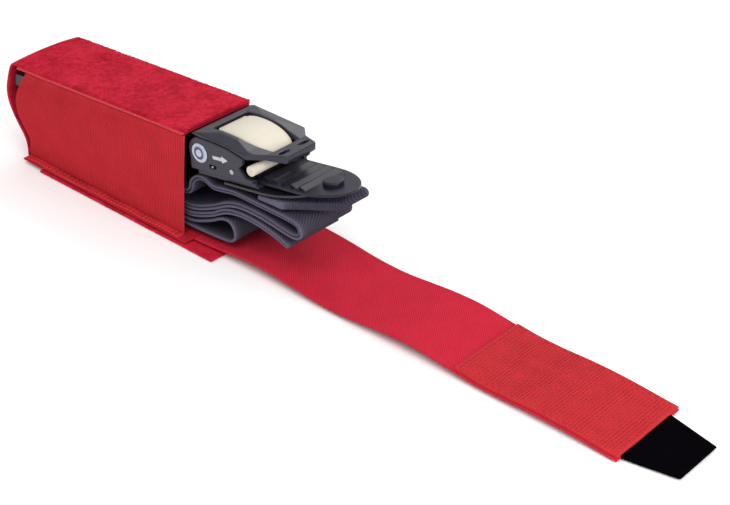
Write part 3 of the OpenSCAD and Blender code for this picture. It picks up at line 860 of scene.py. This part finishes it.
def side_wall(name, side, node):
    """One ribbed wall, four columns to each rib; side is -1 for the left and 1 for the right."""
    ribs = round((MOUTH - REAR) / RIB_PITCH)
    shape = bmesh.new()
    weave = shape.loops.layers.uv.new("cloth")
    bmesh.ops.create_grid(shape, x_segments=4 * ribs, y_segments=WALL_ROWS, size=1.0)
    for face in shape.faces:
        for loop in face.loops:
            along, up = (loop.vert.co.x + 1) / 2, (loop.vert.co.y + 1) / 2
            loop[weave].uv = (along * ribs * RIB_PITCH * MM, up * (REAR_TOP - BASE_TOP) * MM)
    for vert in shape.verts:
        along, up = (vert.co.x + 1) / 2, (vert.co.y + 1) / 2
        level = BASE_TOP + up * (REAR_TOP - TOP_CUT - BASE_TOP)
        rear = smooth_between(rear_edge, level)
        front = MOUTH - MOUTH_LEAN * (1 - up)
        x = rear + (front - rear) * along
        z = BASE_TOP + up * (panel_top(x) - TOP_CUT - BASE_TOP)
        swell = math.sin(math.pi * up) * (0.35 + 0.45 * math.sin(math.pi * along))
        rib = RIB_HEIGHT * math.cos(2 * math.pi * along * ribs) * min(1.0, 12 * up, 12 * (1 - up))
        hold = math.sin(math.pi * up) * (1 - along ** 8)
        sway = noise.noise(Vector((x * 0.03, z * 0.05, side))) * 0.5 * hold
        y = WALL_OUT - 0.15 + swell + rib + sway
        vert.co = Vector((x, side * y, z)) * MM
    sheet_area = sum(face.calc_area() for face in shape.faces)
    inside = bmesh.ops.extrude_face_region(shape, geom=shape.faces[:], use_keep_orig=True)["geom"]
    inner = [part for part in inside if isinstance(part, bmesh.types.BMVert)]
    bmesh.ops.translate(shape, verts=inner, vec=(0, -side * WALL_THICK * MM, 0))
    bmesh.ops.recalc_face_normals(shape, faces=shape.faces)
    rounded(shape, 60, HEM_RADIUS, 2)
    wall = finished(name, shape, ELASTIC, "pouch", [node], 50.0)
    return wall, sheet_area


left_wall, wall_area = side_wall("elastic_wall_left", -1, "left_wall")
right_wall, _ = side_wall("elastic_wall_right", 1, "right_wall")
print("wall area", round(wall_area * 1e4, 1), "square cm")

# %% [markdown]
# ## Top panel
# A woven backing carries the brushed loop panel. The pile is modelled twice: the surface itself is
# uneven, and thousands of short tufts stand on it, thickest along the edges where they catch light.

# %% Top panel
LOOP_THICK = 1.6
BACKING_THICK = 1.4
TOP_W = 2 * WALL_OUT
CROWN = 2.2
CROWN_REACH = 75
TUFT_COUNT = 6500
TUFT_TALL = 0.7
TUFT_LEAN = ((-0.75, 0.75), (-0.75, 0.75), (0.3, 1.7))


def top_route(drop):
    return Route([(x - DATUM, panel_top(x) - drop) for x in spaced(REAR, MOUTH, 20)])


def rear_crown(from_rear, across, reach=CROWN_REACH):
    """The panel arches over the rolled band behind it, most at the rear edge and in the middle."""
    return CROWN * (1 - across * across) * max(0.0, 1 - from_rear / reach) ** 2


loop_panel = tape(
    "loop_panel", top_route(LOOP_THICK / 2), TOP_W, LOOP_THICK, LOOP_PILE, "pouch", "red_loop",
    ["top_loop_panel"], across=0.9, step=0.9, ripple=0.3, fuzz=0.16, crown=rear_crown)
backing = tape(
    "top_backing_cloth", top_route(LOOP_THICK + BACKING_THICK / 2), TOP_W - 0.3, BACKING_THICK,
    RED_BASE, "pouch", "red_webbing", ["top_backing"], ripple=0.2, crown=rear_crown)


def tuft_places(count, height):
    """Random feet on the top panel, thickest along its edges, each with a lean and a height."""
    places = []
    for _ in range(count):
        if random.random() > 0.08:
            x = random.uniform(REAR + 0.2, MOUTH - 0.2)
        else:
            x = MOUTH - random.uniform(0.0, 0.5)
        y = random.uniform(-WALL_OUT + 0.4, WALL_OUT - 0.4)
        if random.random() < 0.16:
            y = random.choice((-1, 1)) * random.uniform(WALL_OUT - 1.0, WALL_OUT - 0.1)
        foot = Vector((x, y, panel_top(x) - 0.15 + rear_crown(x - REAR, y / WALL_OUT)))
        lean = Vector([random.uniform(*ends) for ends in TUFT_LEAN])
        tall = height * random.uniform(0.55, 1.0)
        stand = Matrix.Translation((foot + Vector((0, 0, tall * 0.35))) * MM)
        places.append(stand @ pointing(lean) @ Matrix.Diagonal((1, 1, tall, 1)))
    return places


def tuft(shape, place):
    bmesh.ops.create_cone(
        shape, cap_ends=False, segments=3, radius1=0.16 * MM, radius2=0.02 * MM, depth=MM, matrix=place)


stamped("loop_panel_pile", tuft_places(TUFT_COUNT, TUFT_TALL), tuft, LOOP_PILE, "pouch")
print("top panel", round(TOP_W, 1), "mm wide")

# %% [markdown]
# ## Base, belt flap and rear strap
# Flat panels lie one on another under the sleeve and leave a slot for a belt. They are the same swept
# tape as the webbing, with a small ripple so that no edge is ruler-straight.

# %% Base, belt flap and rear strap
def flat_panel(name, node, finish, slot, fuzz=0.0, across=1.5):
    """A cloth panel filling the box of a flat node."""
    corner, far = (Vector(c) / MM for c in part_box(node))
    thick = far.z - corner.z
    middle = (far.z + corner.z) / 2
    route = Route([(x - DATUM, middle) for x in spaced(corner.x, far.x, 12)])
    return tape(name, route, far.y - corner.y, thick, finish, "pouch", slot, [node], across=across,
                ripple=min(0.25, thick * 0.2), fuzz=fuzz)


base_cloth = flat_panel("base_cloth", "base_panel", RED_BASE, "red_webbing")
belt_cloth = flat_panel("belt_cloth", "belt_panel", FLAP_PILE, "red_loop", fuzz=0.08, across=1.1)
flat_panel("belt_seam_front_cloth", "belt_seam_front", RED_BASE, "red_webbing")
flat_panel("belt_seam_rear_cloth", "belt_seam_rear", RED_BASE, "red_webbing")
REAR_HALF = 0.8
REAR_REACH = 14
rear_route = curve_through([
    (-0.1, REAR_TOP - REAR_HALF), (-3, REAR_TOP - REAR_HALF - 0.2), (-5.4, REAR_TOP - 2.8), (-7.5, 50),
    (-10.3, 41), (-10.3, 35), (-8.4, 28.7), (-4.2, 21.6), (1.6, 14), (3.7, 8), (4.7 - REAR_HALF, 1.8)])
tape(
    "rear_strap_cloth", Route([p + Vector((REAR - DATUM, 0)) for p in rear_route]), TOP_W - 0.6, 1.5,
    LOOP_PILE, "pouch", "red_webbing", ["rear_strap"], across=1.2, ripple=0.3, fuzz=0.1,
    crown=lambda down, across: -rear_crown(down, across, REAR_REACH))
print("rear strap", round(Route(rear_route).total, 1), "mm")

# %% [markdown]
# ## Hems, edge rolls and stitching
# The elastic is turned out over the base and sewn down, and the top edges are overlocked into a narrow
# roll. Stitches are small flattened beads laid along each seam, a little uneven, as thread is.

# %% Hems, edge rolls and stitching
def straight(x0, z0, x1, z1):
    return Route([(x - DATUM, z) for x, z in zip(spaced(x0, x1, 10), spaced(z0, z1, 10))])


HEM_W = 4.1
HEM_Y = WALL_OUT + HEM_W / 2 - 0.2
hem_route = straight(REAR + 6.2, BASE_TOP + 0.45, MOUTH - 2.2, BASE_TOP + 0.45)
edge_route = straight(REAR + 0.6, REAR_TOP - 1.9, MOUTH - 0.2, MOUTH_TOP - 1.9)
for side, label in ((-1, "left"), (1, "right")):
    tape("hem_" + label, hem_route, HEM_W, 1.0, ELASTIC_FLAT, "pouch", "red_elastic", side=side * HEM_Y,
         across=0.7, ripple=0.5)
    tape("top_edge_roll_" + label, edge_route, 1.7, 1.5, EDGE_ROLL, "pouch", "red_elastic",
         side=side * (WALL_OUT - 0.35), across=0.5, ripple=0.25)


def stitches(start, end, length=2.3, gap=0.9, thick=0.32):
    """Places for stitches along a straight line from one point to another, in millimetres."""
    start, end = Vector(start), Vector(end)
    along = (end - start).normalized()
    up = Vector((0, 0, 1))
    beside = up.cross(along)
    count = max(1, int((end - start).length / (length + gap)))
    places = []
    for i in range(count):
        middle = start + along * ((i + 0.5) * (end - start).length / count)
        a = (along + beside * random.uniform(-0.12, 0.12)).normalized()
        turn = Matrix((a, up.cross(a), up)).transposed().to_4x4()
        size = Matrix.Diagonal((length / 2 * MM, thick * MM, thick * MM, 1))
        places.append(Matrix.Translation(middle * MM) @ turn @ size)
    return places


def stitch(shape, place):
    bmesh.ops.create_uvsphere(shape, u_segments=6, v_segments=4, radius=1.0, matrix=place)


SEAM_ROWS = (1.0, 2.7)
SEAM_LEVEL = BASE_TOP + 1.0
pouch_thread = []
for side in (-1, 1):
    for offset in SEAM_ROWS:
        y = side * (WALL_OUT + offset)
        pouch_thread += stitches((REAR + 7, y, SEAM_LEVEL), (MOUTH - 3, y, SEAM_LEVEL))

# The strap's root is sewn down with a box of stitches in front of the mouth.
BOX_REAR, BOX_FRONT = 6, 17
BOX_MARGIN = 3
THREAD_LIFT = 0.85


def strap_point(out, y):
    return (DATUM + out, y, strap_height(out) + THREAD_LIFT)


box_sides = (STRAP_LOW_Y + BOX_MARGIN, STRAP_HIGH_Y - BOX_MARGIN)
for y in box_sides:
    pouch_thread += stitches(strap_point(BOX_REAR, y), strap_point(BOX_FRONT, y))
for out in (BOX_REAR, BOX_FRONT):
    pouch_thread += stitches(*(strap_point(out, y) for y in box_sides))
stamped("pouch_stitching", pouch_thread, stitch, THREAD_RED, "pouch")

PATCH_MARGIN = 1.7
PATCH_RUNS = 12
FINE_STITCH = (2.2, 0.7, 0.22)
flap_thread = []


def patch_point(distance, y):
    here = patch_route.at(distance)
    return (here.x + DATUM, y, here.y + PATCH_THICK / 2 + 0.04)


run = (patch_route.total - 2 * PATCH_MARGIN) / PATCH_RUNS
for y in (STRAP_Y - PATCH_W / 2 + 1.6, STRAP_Y + PATCH_W / 2 - 1.6):
    for k in range(PATCH_RUNS):
        ends = (patch_point(PATCH_MARGIN + k * run, y), patch_point(PATCH_MARGIN + (k + 1) * run, y))
        flap_thread += stitches(*ends, *FINE_STITCH)
for distance in (PATCH_MARGIN, patch_route.total - PATCH_MARGIN, patch_route.total - 4.2):
    ends = (patch_point(distance, STRAP_Y + side * (PATCH_W / 2 - 2)) for side in (-1, 1))
    flap_thread += stitches(*ends, *FINE_STITCH)
stamped("patch_stitching", flap_thread, stitch, THREAD_ORANGE, "flap")

# %% [markdown]
# ## Moulded parts
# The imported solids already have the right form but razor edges. Each is copied, its loose triangles
# are merged into clean faces, and every sharp edge gets a small moulded radius that catches light.

# %% Moulded parts
def softened(node, finish, body, radius=0.3, segments=3, sharp=25.0, name=None, keep=None):
    """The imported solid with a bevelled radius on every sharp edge."""
    shape = packed_copy(node, keep)
    rounded(shape, sharp, radius, segments, loop_slide=True)
    triangulate_wide(shape)
    piece = finished(name or node + "_moulded", shape, finish, body, [node], sharp + 7)
    weighted = piece.modifiers.new("weighted_normals", "WEIGHTED_NORMAL")
    weighted.keep_sharp = True
    return piece


def melted(node, finish, body, grain=0.34, passes=5):
    """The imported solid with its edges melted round: remeshed into even small faces, then relaxed."""
    shape = packed_copy(node)
    bmesh.ops.triangulate(shape, faces=shape.faces)
    data = bpy.data.meshes.new("casting")
    shape.to_mesh(data)
    shape.free()
    casting = placed("casting", data)
    even = casting.modifiers.new("even", "REMESH")
    even.mode = "VOXEL"
    even.voxel_size = grain * MM
    relaxed = casting.modifiers.new("relaxed", "SMOOTH")
    relaxed.factor = 0.5
    relaxed.iterations = passes
    made = bpy.data.meshes.new_from_object(casting.evaluated_get(bpy.context.evaluated_depsgraph_get()))
    shape = bmesh.new()
    shape.from_mesh(made)
    bpy.data.objects.remove(casting)
    return finished(node + "_moulded", shape, finish, body, [node], 80.0)


melted("buckle_base", BUCKLE_BLACK, "buckle", 0.36, 3)
softened("base_tongue", TONGUE_BLACK, "buckle")
melted("lever_frame", BUCKLE_BLACK, "lever", 0.32, 7)
softened("drive_pawl", STEEL, "drive_pawl_body", 0.15, 2)
softened("ladder_strap", LADDER_BLACK, "ladder", 0.16, 2, 12.0)
softened("ladder_button", LADDER_BLACK, "ladder", 0.35)
softened("slide_buckle", BUCKLE_BLACK, "buckle")
softened("axle_caps", CHROME, "buckle", 0.08, 2)
steel_parts = (
    ("ear_rivets", "buckle", 0.08), ("base_rivets", "buckle", 0.15), ("ladder_rivets", "ladder", 0.2),
    ("main_axle", "buckle", 0.2), ("pawl_pin", "lever", 0.15))
for node, body, radius in steel_parts:
    softened(node, STEEL, body, radius, 2)
softened("axle_springs", STEEL, "buckle", 0.03, 1, 60.0)
softened("label_arrow", PRINT, "buckle", 0.03, 1)
softened("release_rod", CREAM, "release", 0.5, 4)

# %% [markdown]
# ### Release lever
# The thumb pad is a smooth dome inside the lever's ring. The webs below it are kept from the packed
# solid, cut off under the pad; the dome is a grid rounded into a tapering plan and crowned both ways.

# %% Release lever
PAD_REAR, PAD_FRONT = 1.6, 39.0
PAD_EDGE = 1.9
EDGE_OVER_FLOOR = 0.3
WEB_CUT = ((PIVOT_X, 0, PIVOT_Z + 10.3), (0.1, 0, 1))
softened("release_lever", CREAM, "release", 0.25, 2, name="release_webs", keep=WEB_CUT)
# Each pair is a distance in front of the pivot, and a height over it or a half width there.
pad_crest = [
    (1, 10.2), (5, 11.9), (10, 12.9), (16, 13.3), (22, 13.0), (28, 12.1), (34, 10.5), (39, 8.3)]
pad_floor = [(1, 9.4), (10, 9.6), (24, 9.2), (32, 6.8), (39, 6.3)]
pad_sides = [(1, 8.4), (4, 10.8), (8, 11.55), (20, 11.6), (27, 11.0), (33, 9.7), (37, 7.6), (39, 4.8)]


def release_pad():
    shape = bmesh.new()
    bmesh.ops.create_grid(shape, x_segments=44, y_segments=28, size=1.0)
    for vert in shape.verts:
        along, across = (math.sin(c * math.pi / 2) for c in vert.co.xy)
        x = (PAD_REAR + PAD_FRONT) / 2 + (PAD_FRONT - PAD_REAR) / 2 * along
        y = smooth_between(pad_sides, x) * across
        round_off = (1 - abs(across) ** 3.2) * (1 - abs(along) ** 9)
        crest = smooth_between(pad_crest, x)
        edge = max(crest - PAD_EDGE, smooth_between(pad_floor, x) + EDGE_OVER_FLOOR)
        z = edge + (crest - edge) * max(0.0, round_off) ** 0.42
        vert.co = Vector((PIVOT_X + x, y, PIVOT_Z + z)) * MM
    rim = [e for e in shape.edges if e.is_boundary]
    skirt = bmesh.ops.extrude_edge_only(shape, edges=rim)["geom"]
    for vert in (g for g in skirt if isinstance(g, bmesh.types.BMVert)):
        vert.co.z = (PIVOT_Z + smooth_between(pad_floor, vert.co.x / MM - PIVOT_X)) * MM
    close_holes(shape)
    triangulate_wide(shape)
    bmesh.ops.recalc_face_normals(shape, faces=shape.faces)
    return finished("release_pad", shape, CREAM, "release", (), 50.0)


release_pad()
print("pad", PAD_FRONT - PAD_REAR, "mm long")

# %% [markdown]
# ## Sheets of cloth
# The flat panels and the two walls are cut from sheet goods; the walls' flat size is worked out here
# but not used further. Straps and webbing are woven to width and modelled directly.


WALL_TURNED = (3.0, 2.0)
wall_flat = (REAR_TOP + WALL_TURNED[0], MOUTH - REAR + WALL_TURNED[1])
for wall in (left_wall, right_wall):
    [side * MM for side in wall_flat]

# %% [markdown]
# ## Studio
# A pale floor under a broad, soft light from the upper left front, a weaker one from the right to open
# the buckle's shadows, and a bright even surround, so fabrics show their relief without hard shadows.

# %% Studio
FLOOR_LEVEL = -0.0004
FLOOR_HALF = 6.0
LIGHTS_AIM = Vector((0.06, 0, 0.03))
SURROUND = 0.62
floor_shape = bmesh.new()
bmesh.ops.create_grid(
    floor_shape, x_segments=1, y_segments=1, size=FLOOR_HALF,
    matrix=Matrix.Translation((0, 0, FLOOR_LEVEL)))
floor_mesh = bpy.data.meshes.new("studio_floor")
floor_shape.to_mesh(floor_mesh)
floor_shape.free()
paper = Finish("studio_paper", Roughness=0.9, Specular_IOR_Level=0.1)
paper.shader.inputs["Base Color"].default_value = (0.97, 0.97, 0.97, 1)
floor_mesh.materials.append(paper.data)
floor = placed("studio_floor", floor_mesh)


def soft_light(name, place, power, size):
    data = bpy.data.lights.new(name, "AREA")
    data.energy = power
    data.size = size
    lamp = placed(name, data)
    aim = LIGHTS_AIM - Vector(place)
    lamp.matrix_world = Matrix.Translation(place) @ aim.to_track_quat("-Z", "Y").to_matrix().to_4x4()


soft_light("key", (0.35, -0.65, 1.20), 8.3, 0.9)
soft_light("fill", (0.75, -0.12, 0.32), 3.0, 0.5)
soft_light("back", (-0.3, 0.9, 0.9), 5.0, 0.8)
world = bpy.data.worlds.new("studio")
bpy.context.scene.world = world
world.use_nodes = True
world.node_tree.nodes["Background"].inputs["Color"].default_value = (1, 1, 1, 1)
world.node_tree.nodes["Background"].inputs["Strength"].default_value = SURROUND
bpy.context.scene.view_settings.view_transform = "Standard"
print("lights:", len(bpy.data.lights))
